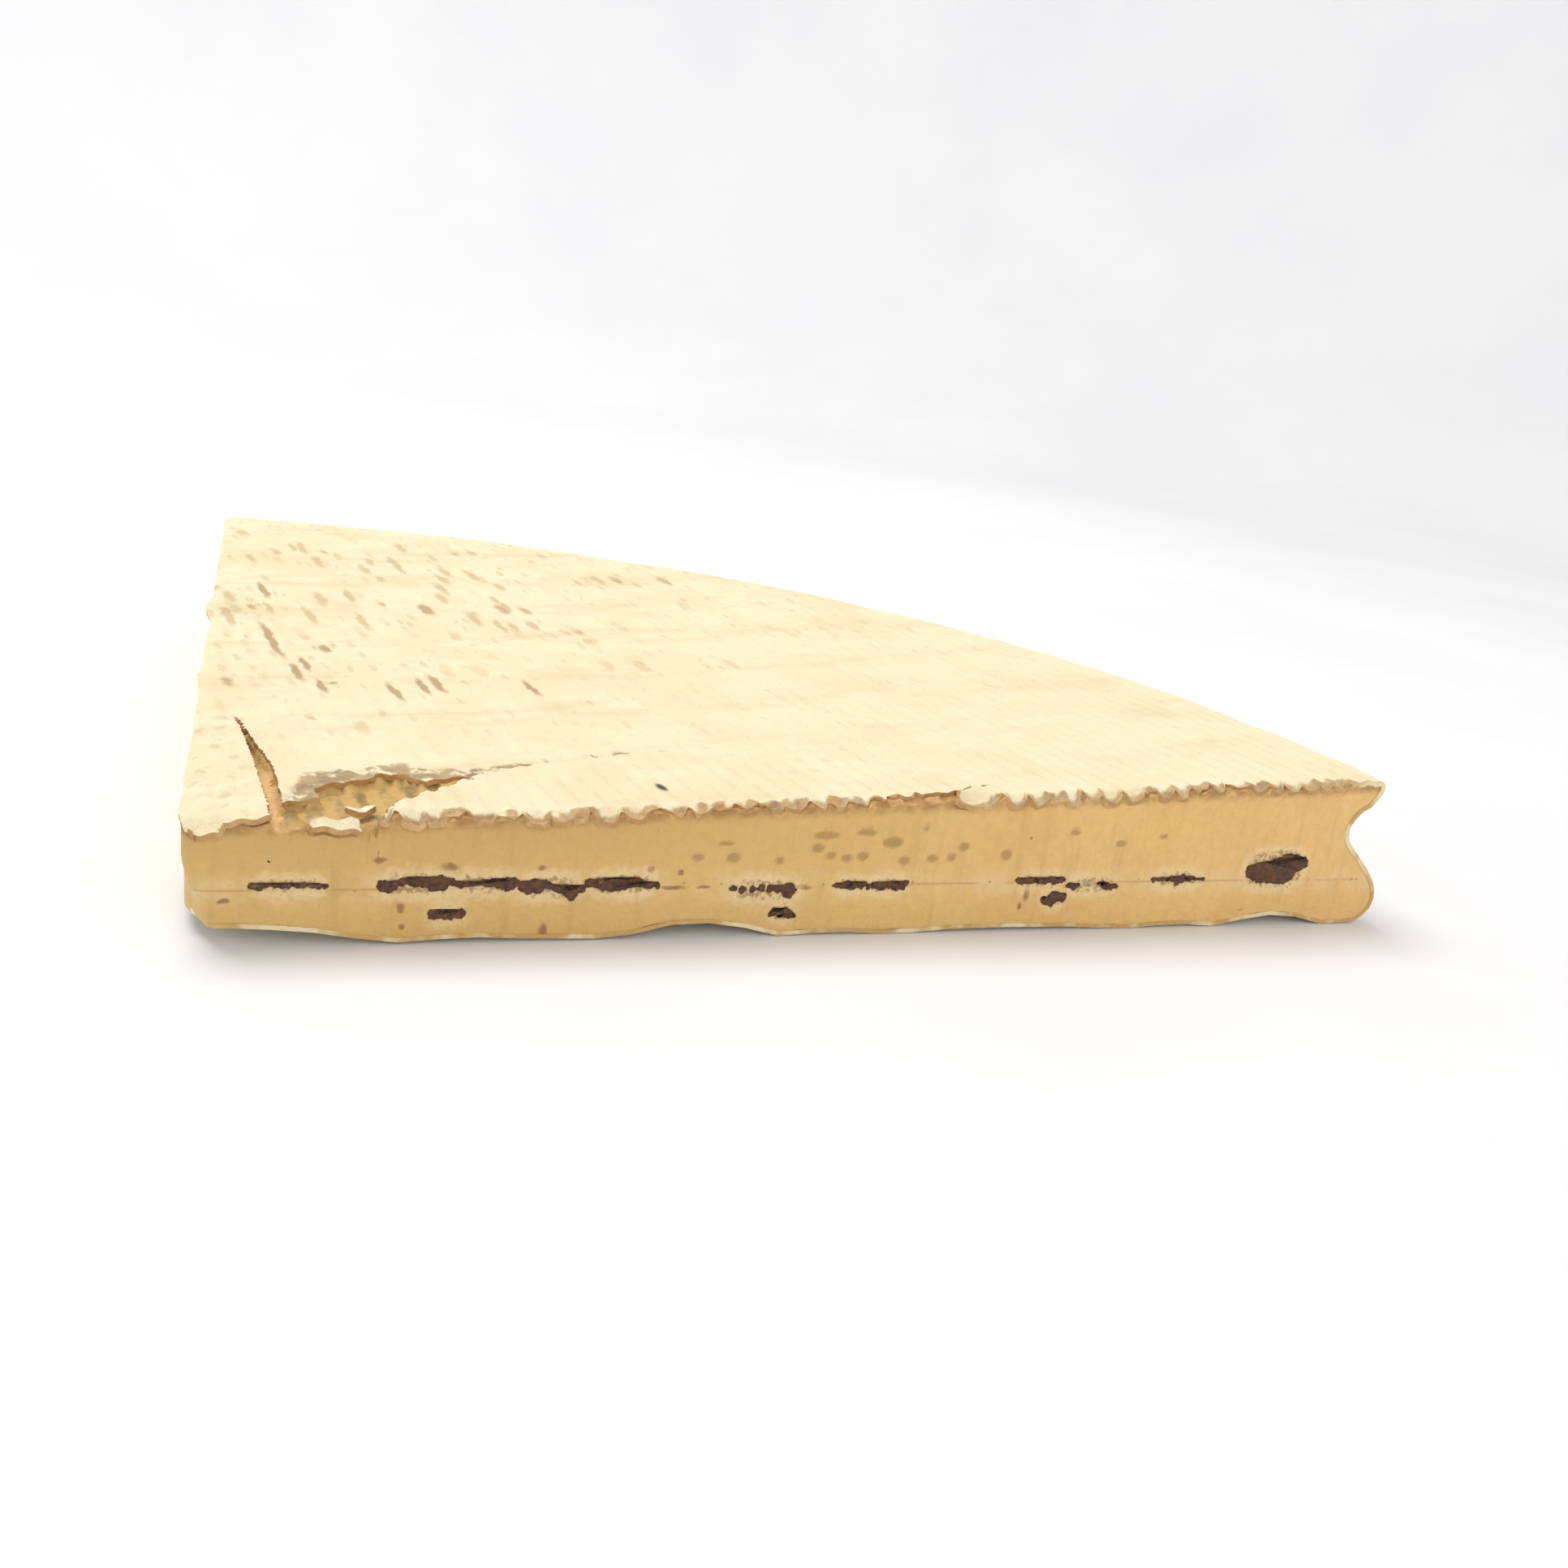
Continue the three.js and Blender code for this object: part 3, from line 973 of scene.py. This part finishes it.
def rind_material():
    material, tree, shader, place = new_material("bloomy_rind")
    x, y, z = split(tree, place)
    turned = add(tree, "Mapping", {"Vector": place, "Rotation": (0, 0, -STRAW_TURN)}).outputs[0]
    across, along, _ = split(tree, turned)
    top = fade(tree, z, TOP_FROM, TOP_FROM + TOP_BLEND)

    # The strings left warmer bands, and the straws dashes where they pressed deepest.
    strings = maths(tree, "ADD", maths(tree, "DIVIDE", along, STRING_PITCH), 0.95)
    row = maths(tree, "ABSOLUTE", maths(tree, "SUBTRACT", maths(tree, "FRACT", strings), 0.5))
    in_row = fade(tree, row, 0.36, 0.08)
    corner = maths(tree, "SUBTRACT", maths(tree, "MULTIPLY", y, 0.6), maths(tree, "MULTIPLY", x, 0.45))
    worn = fade(tree, corner, -55, 60)
    frayed = use(tree, FRAY, Place=turned, Size=3, Amount=1.5)
    stretched = stretch(tree, frayed, (1, 0.26, 1))
    bold = spotted(tree, stretched, 3.3, 0.8, 0.58)
    bold = times(tree, bold, fade(tree, in_row, 0, 1, 0.45, 1), fade(tree, worn, 0, 1, 0.12, 0.9))
    fine_ones = spotted(tree, stretched, 1.9, 0.6, 0.5)
    fine_ones = times(tree, fine_ones, fade(tree, worn, 0, 1, 0.35, 0.55))
    dashes = times(tree, most(tree, bold, fine_ones), top, fade(tree, y, 20, 40, 0.25, 1))
    clear, faint = (
        most(tree, *(
            use(tree, MARK, Place=frayed, Middle=(a, b, 20), Reach=(wide, long, 30))
            for a, b, wide, long in marks
        ))
        for marks in (DASHES, draw_dashes())
    )
    dents = most(tree, dashes, times(tree, clear, top), times(tree, faint, top, 0.7))

    patches = mottled(tree, place, 16, 0.4, 0.68)
    streaks = mottled(tree, stretch(tree, turned, (0.25, 1, 1)), 5, 0.42, 0.7)
    bloom = mottled(tree, place, 2.2, 0.35, 0.75)
    rough = mottled(tree, place, 3.2, 0.38, 0.62)
    mouldy = times(tree, stained(tree, "mould"), spotted(tree, place, 2.4, 0.8, 0.62), 0.5)
    # smear: damp grey-tan rind by the tear, and painted shade behind the crack's raised lip
    smear = fade(tree, maths(tree, "ADD", stained(tree, "smear"), times(tree, rough, 0.65)), 0.68, 1.05)
    damp_and_shade = mix(tree, bloom, colour(182, 154, 104), colour(130, 102, 62))
    bare = mix(tree, rough, colour(198, 158, 102), colour(158, 118, 70))
    dot = use(tree, MARK, Place=place, Middle=(63.6, 8.2, 20), Reach=(1.2, 2.2, 30))
    base = coats(
        tree, colour(245, 234, 198),
        (patches, colour(240, 224, 184)),
        (times(tree, streaks, in_row, fade(tree, worn, 0, 1, 0.35, 0.8)), colour(232, 208, 166)),
        (times(tree, bloom, 0.25), colour(236, 218, 178)),
        (fade(tree, dents, 0, 0.8, 0, 0.85), colour(218, 196, 150)),
        (fade(tree, dents, 0.55, 1, 0, 0.65), colour(168, 132, 90)),
        (times(tree, spotted(tree, frayed, 4.5, 0.55, 0.34), top, 0.4), colour(222, 208, 164)),
        (mouldy, colour(170, 152, 108)),
        # damp rind by the tear, and painted shade behind the crack's raised lip
        (times(tree, smear, 0.85), damp_and_shade),
        (times(tree, stained(tree, "edge"), fade(tree, bloom, 0, 1, 0.75, 1)), bare),
        (times(tree, dot, top), colour(60, 44, 34)),
    )
    finish_surface(tree, shader, base, fade(tree, bloom, 0, 1, 0.95, 0.8))
    shader.inputs["Specular IOR Level"].default_value = 0.25
    shader.inputs["Sheen Weight"].default_value = 0.15
    shader.inputs["Sheen Roughness"].default_value = 0.6

    wave = maths(tree, "SINE", maths(tree, "MULTIPLY", across, 2 * math.pi / STRAW_PITCH))
    fluff = noise(tree, place, 1.6, 4, 0.7)
    height = maths(tree, "ADD", times(tree, wave, top, 0.05), times(tree, fluff, 0.35))
    height = maths(tree, "SUBTRACT", height, times(tree, dents, 0.35))
    bump(tree, shader, height)
    return material


def cut_rind_material():
    """The rind's own thickness, bare where it was cut or torn."""
    material, tree, shader, place = new_material("cut_rind")
    x, _, z = split(tree, place)
    patches = mottled(tree, place, 9, 0.45, 0.6)
    grain = mottled(tree, place, 1.2, 0.35, 0.7)
    pale = mix(tree, patches, colour(206, 168, 108), colour(238, 220, 178))
    base = coats(
        tree, colour(196, 154, 98),
        (patches, colour(220, 184, 130)),
        (times(tree, grain, 0.5), colour(164, 122, 74)),
        (most(tree, fade(tree, z, 14, 9), fade(tree, x, 168, 178)), pale),
    )
    finish_surface(tree, shader, base, fade(tree, grain, 0, 1, 0.85, 0.6))
    fine = noise(tree, place, 1.5, 3)
    bump(tree, shader, times(tree, fine, 0.4))
    return material


# Brown specks on the front cut: along, up, half length, half height. The one at 46.4 along and 1.6 up is
# painted shade in a small notch at the bottom edge.
SPECKS_AND_NOTCH_SHADE = [
    (33.2, 11.2, 1.7, 0.9), (45.7, 10.9, 0.9, 0.6), (27.2, 5.4, 0.8, 1.1), (27.5, 2.6, 0.7, 0.6),
    (5.2, 6.6, 1.2, 0.6), (61.1, 10.7, 0.7, 0.6), (65.4, 10.3, 0.7, 0.6), (46.4, 1.6, 0.9, 1.6),
    (121.3, 6.2, 0.6, 1.6), (120.5, 4.2, 0.5, 0.8), (36.3, 8.9, 2, 0.8), (64.5, 7.9, 2.6, 0.5),
    (69, 7.9, 1.5, 0.4), (84, 7.8, 2, 0.6), (132, 8, 2.4, 0.7), (152.5, 8.2, 1.4, 0.7),
    (24.3, 12.2, 1.2, 0.5),
]


def paste_material():
    material, tree, shader, place = new_material("ripe_paste")
    x, y, z = split(tree, place)
    run = maths(tree, "MAXIMUM", x, y)
    patches = mottled(tree, place, 14, 0.38, 0.68)
    grain = mottled(tree, place, 1.6, 0.3, 0.75)
    above = times(tree, fade(tree, z, 9, 17), fade(tree, run, 120, 20), 0.45)

    # The truffle layer: a faint seam, pale halos and stray grains
    layer = maths(tree, "ABSOLUTE", maths(tree, "SUBTRACT", z, TRUFFLE_HEIGHT))
    halo = times(tree, fade(tree, layer, 3.4, 0.6), mottled(tree, place, 7, 0.4, 0.62), 0.4)
    grains = times(tree, fade(tree, layer, 1.2, 0.1), spotted(tree, place, 1.1, 0.45, 0.5), 0.75)
    seam = times(tree, fade(tree, layer, 0.3, 0), mottled(tree, place, 12, 0.45, 0.55), 0.5)
    loose = spotted(tree, place, 6, 0.14, 0.12)
    frayed = use(tree, FRAY, Place=place, Size=1.2, Amount=0.9)
    speck_and_shade_marks = [
        use(tree, MARK, Place=frayed, Middle=(along, 0, up), Reach=(long, 2, high))
        for along, up, long, high in SPECKS_AND_NOTCH_SHADE
    ]
    under_rind_darkness = times(tree, stained(tree, "crust"), mottled(tree, place, 2.6, 0.25, 0.6), 0.95)
    rough = noise(tree, place, 1.3, 3, 0.6)
    near = maths(tree, "ADD", stained(tree, "crumbs_near"), rough)

    # Where the rind is torn off, and in the slit, whose olive paste turns to painted shade deep in where
    # the slit narrows
    uneven = mottled(tree, place, 4, 0.4, 0.62)
    bare = mix(tree, uneven, colour(192, 158, 90), colour(144, 116, 62))
    bare = mix(tree, times(tree, grain, 0.35), bare, colour(226, 196, 140))
    # olive bare paste, turning to painted shade where the slit narrows
    olive_and_slit_shade = mix(tree, fade(tree, y, 27, 31), colour(176, 140, 78), colour(112, 80, 44))

    fine = noise(tree, place, 1.1, 4, 0.6)
    drag = noise(tree, stretch(tree, place, (1, 1, 0.12)), 0.45, 3)
    base = coats(
        tree, colour(214, 180, 112),
        (fade(tree, run, 5, 180), colour(238, 197, 128)),
        (times(tree, patches, 0.5), colour(226, 182, 112)),
        (times(tree, grain, 0.22), colour(190, 150, 88)),
        (above, colour(190, 156, 92)),
        (halo, colour(238, 214, 168)),
        (grains, colour(120, 78, 50)),
        (seam, colour(176, 128, 76)),
        # brown specks, and painted shade in the small notch at the bottom edge
        (times(tree, most(tree, loose, *speck_and_shade_marks), 0.75), colour(138, 92, 58)),
        # darker just under the rind, along both cuts
        (under_rind_darkness, colour(170, 128, 78)),
        (fade(tree, near, 0.85, 1.35, 0, 0.45), colour(240, 218, 172)),
        (fade(tree, near, 1.4, 1.6, 0, 0.6), colour(122, 84, 54)),
        # painted shade in the pits and in the hollow under the rind's edge near the tip
        (times(tree, stained(tree, "pits"), 0.7), colour(164, 128, 72)),
        (stained(tree, "torn"), bare),
        (times(tree, stained(tree, "strip"), fade(tree, rough, 0.3, 0.6, 0.6, 1)), colour(232, 190, 132)),
        (stained(tree, "slit"), olive_and_slit_shade),
        (fade(tree, drag, 0.55, 0.7, 0, 0.16), colour(176, 140, 84)),
    )
    finish_surface(tree, shader, base, fade(tree, grain, 0, 1, 0.62, 0.42))
    shader.inputs["Specular IOR Level"].default_value = 0.35
    bump(tree, shader, maths(tree, "ADD", times(tree, fine, 0.3), times(tree, drag, 0.5)))
    return material


def truffle_material():
    material, tree, shader, place = new_material("black_truffle")
    grain = mottled(tree, place, 0.9, 0.35, 0.7)
    veins = mottled(tree, place, 1.6, 0.62, 0.72)
    base = mix(tree, grain, colour(64, 38, 25), colour(116, 76, 46))
    base = mix(tree, times(tree, veins, 0.5), base, colour(168, 130, 96))
    finish_surface(tree, shader, base, fade(tree, grain, 0, 1, 0.55, 0.8))
    fine = noise(tree, place, 3, 3)
    bump(tree, shader, times(tree, fine, 0.25))
    return material


def floor_material():
    material, tree, shader, place = new_material("pale_floor")
    clouds = mottled(tree, place, 160, 0.3, 0.7)
    finish_surface(tree, shader, mix(tree, clouds, colour(238, 239, 242), colour(233, 234, 238)), 0.9)
    return material


def wear(piece, material):
    piece.data.materials.clear()
    piece.data.materials.append(material)


# ---------------- stains

def draw_bites():
    """Where the knife tore the white off the rind's edge: middle, half width, depth."""
    draw = random.Random("bites")
    bites = []
    middle = 24
    while middle < 180:
        bites.append((middle, draw.uniform(0.6, 1.5), draw.uniform(0.5, 2.3)))
        middle += draw.uniform(1.4, 3)
    return bites


BITES = draw_bites()


def rind_edge(x, y, z):
    """The rind is bare and brown along the front cut, in bites of uneven depth between the lobes."""
    if z < TOP_FROM or y > 3 or x < LOBES_FROM:
        return 0
    reach = max(deep * smooth(1.5 - abs(x - middle) / half) for middle, half, deep in BITES)
    reach = 0.35 + reach * smooth(1.25 - 1.1 * lobe(x))
    return smooth(0.5 + (reach - y) / 0.5)


def mould(x, y, z):
    if z < TOP_FROM or y > 60 or x > 60:
        return 0
    near_tear = 0
    if 12 < x < 50 and y < 26:
        right = beside([(13, 7), (18, 12), (25, 17), (34, 17), (46, 22)], x, y)[1]
        near_tear = smooth(1 - abs(right) / 4)
    on_flap = 0.65 * smooth((9 - x) / 3) * smooth((48 - y) / 10)
    return max(near_tear, on_flap)


TEAR_BACK = [
    (12.5, 6), (17, 8.5), (18, 12.6), (23, 15), (28, 16.8), (34, 15), (40, 17.5), (49, 21), (57, 23),
    (66, 24.6),
]


def smear_and_shade_stain(x, y, z):
    """Damp, grey-tan rind along the back of the tear, widest by the tear, and painted shade in a thin band
    behind the crack, on its lowered side under the raised lip.
    """
    if z < TOP_FROM or y > 36 or x > CRACK_REACH[0]:
        return 0
    share, right = beside(TEAR_BACK, x, y)
    width = 8 * smooth(1.35 - 1.5 * share) + 1
    along_tear = smooth(1 - abs(right) / width) * smooth((x - 11) / 5) * (1 - 0.5 * share)
    share, right = beside(CRACK, x, y)
    # painted shade: the thin band on the crack's lowered side, behind its raised lip
    behind = smooth(1 + right / 1.2) * smooth((1 - share) * 2) * 0.9 if right <= 0.05 else 0
    return max(along_tear, behind)


def torn_stain(x, y, z):
    return 1 if z > dish(math.hypot(x, y)) - 2 and inside(TEAR, x, y) else 0


def in_slit(x, y, z):
    return z > dish(math.hypot(x, y)) - 2.5 and x < SLIT_REACH[0] and inside(SLIT, x, y)


def strip_stain(x, y, z):
    return smooth((24 - y) / 6) if in_slit(x, y, z) else 0


# Painted shade: deeper into the narrow slit, under its overlapping left edge, the olive paste turns dark.
def slit_shade_stain(x, y, z):
    return smooth((y - 20) / 6) if in_slit(x, y, z) else 0


def crust(x, y, z):
    """The paste is darker just under the rind, along both cuts."""
    if min(x, y) > 3:
        return 0
    depth = dish(math.hypot(x, y)) - z
    return smooth((3.1 - depth) / 1.4)


def crumb_rows(side):
    """One cut's truffle solids: start and end of the line through each, its height, half its thickness."""
    axis = 1 if side == "side" else 0
    rows = []
    for node in sorted(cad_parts):
        if node.startswith(f"truffle_{side}"):
            low, high = (from_tip(corner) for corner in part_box(node))
            half = min(high.z - low.z, high[axis] - low[axis]) / 2
            rows.append((low[axis] + half, high[axis] - half, (low.z + high.z) / 2, half))
    return rows


CRUMB_ROWS = {side: crumb_rows(side) for side in ("front", "side")}


def crumbs_near(x, y, z):
    """1 at a crumb, down to 0 some millimetres from it."""
    if min(x, y) > 2 or not 1 < z < 16:
        return 0
    side, along = ("side", y) if x < y else ("front", x)
    nearest = 9
    for start, end, up, half in CRUMB_ROWS[side]:
        away = math.hypot(max(start - along, along - end, 0), z - up) - half
        nearest = min(nearest, away)
    return min(max(1 - nearest / 3, 0), 1)


# Painted shade: the paste is darker in the pits and in the hollow under the loose rind edge near the tip.
def pit_shade_stain(x, y, z):
    return max(
        smooth(1.2 * hollows(PITS + [EDGE_HOLLOW], x, z)) if y < 1.5 else 0,
        smooth(1.2 * hollows(SIDE_PITS, y, z)) if x < 1.5 else 0,
    )


# ---------------- camera, floor and light

CAMERA_PLACE = (10.6, -181.6, 85.7)
CAMERA_PITCH, CAMERA_YAW, CAMERA_ROLL = 17.72, 20.66, 7.39
CAMERA_LENS, CAMERA_SENSOR = 33.07, 36
FLOOR_RADIUS, FLOOR_BEND, WALL_HEIGHT = 0.75, 0.5, 0.4  # in metres
BEND_STEPS = 12


def set_camera():
    camera = bpy.data.objects.new("camera", bpy.data.cameras.new("camera"))
    bpy.context.scene.collection.objects.link(camera)
    camera.data.lens = CAMERA_LENS
    camera.data.sensor_width = CAMERA_SENSOR
    camera.data.clip_start = 10 * MM
    yaw = Matrix.Rotation(-math.radians(CAMERA_YAW), 4, "Z")
    pitch = Matrix.Rotation(math.radians(90 - CAMERA_PITCH), 4, "X")
    roll = Matrix.Rotation(math.radians(CAMERA_ROLL), 4, "Z")
    camera.matrix_world = Matrix.Translation(at_tip(*CAMERA_PLACE)) @ yaw @ pitch @ roll
    bpy.context.scene.camera = camera


def make_floor():
    """A pale disc that curves up into a wall far from the cheese."""
    deselect_all()
    bpy.ops.mesh.primitive_circle_add(vertices=96, radius=FLOOR_RADIUS, fill_type="NGON")
    floor = bpy.context.object
    floor.name = "studio_floor"
    bpy.ops.object.mode_set(mode="EDIT")
    bpy.ops.mesh.select_mode(type="EDGE")
    pick_all()
    bpy.ops.mesh.inset(thickness=0.01)
    bpy.ops.mesh.select_all(action="DESELECT")
    bpy.ops.mesh.select_non_manifold()
    radius, height = FLOOR_RADIUS, 0
    for i in range(1, BEND_STEPS + 1):
        angle = QUARTER * i / BEND_STEPS
        wider, higher = FLOOR_RADIUS + FLOOR_BEND * math.sin(angle), FLOOR_BEND * (1 - math.cos(angle))
        bpy.ops.mesh.extrude_region_move(TRANSFORM_OT_translate={"value": (0, 0, higher - height)})
        bpy.ops.transform.resize(value=(wider / radius, wider / radius, 1), center_override=(0, 0, higher))
        radius, height = wider, higher
    bpy.ops.mesh.extrude_region_move(TRANSFORM_OT_translate={"value": (0, 0, WALL_HEIGHT)})
    pick_all()
    bpy.ops.mesh.normals_make_consistent(inside=True)
    close_edit()
    shade_smooth()
    wear(floor, floor_material())


def add_light(name, place, size, power, tint):
    light = bpy.data.lights.new(name, "AREA")
    light.shape = "DISK"
    light.size = size
    light.energy = power
    light.color = tint
    lamp = bpy.data.objects.new(name, light)
    bpy.context.scene.collection.objects.link(lamp)
    aim = -Vector(place)
    lamp.matrix_world = Matrix.Translation(place) @ aim.to_track_quat("-Z", "Y").to_matrix().to_4x4()


def set_light():
    world = bpy.data.worlds.new("studio")
    world.use_nodes = True
    background = world.node_tree.nodes["Background"]
    background.inputs["Color"].default_value = (1, 0.98, 0.95, 1)
    background.inputs["Strength"].default_value = 0.55
    bpy.context.scene.world = world
    add_light("key", place=(-0.35, 0.35, 1.2), size=0.9, power=11.5, tint=(1, 0.98, 0.94))
    add_light("fill", place=(0.25, -1, 0.75), size=0.8, power=2, tint=(1, 0.93, 0.82))
    bpy.context.scene.view_settings.view_transform = "Standard"


# ---------------- the wedge put together

def finish_piece(piece, material, node):
    if material:
        wear(piece, material)
    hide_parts(node)
    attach(piece, "root")


def make_truffle():
    truffle = truffle_material()
    for side in ("front", "side"):
        number = 1
        while f"truffle_{side}_{number}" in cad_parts:
            node = f"truffle_{side}_{number}"
            finish_piece(make_crumb(node, side, number), truffle, node)
            number += 1


set_camera()
set_light()
make_floor()

deselect_all()
rind = make_rind(rind_material(), cut_rind_material())
for name, rule in (("edge", rind_edge), ("mould", mould), ("smear", smear_and_shade_stain)):
    stain(rind, name, rule)
finish_piece(rind, None, "cheese_wedge")

deselect_all()
paste = make_paste()
for name, rule in (
    ("pits", pit_shade_stain), ("torn", torn_stain), ("strip", strip_stain), ("slit", slit_shade_stain),
    ("crust", crust), ("crumbs_near", crumbs_near),
):
    stain(paste, name, rule)
finish_piece(paste, paste_material(), "cheese_wedge")

make_truffle()
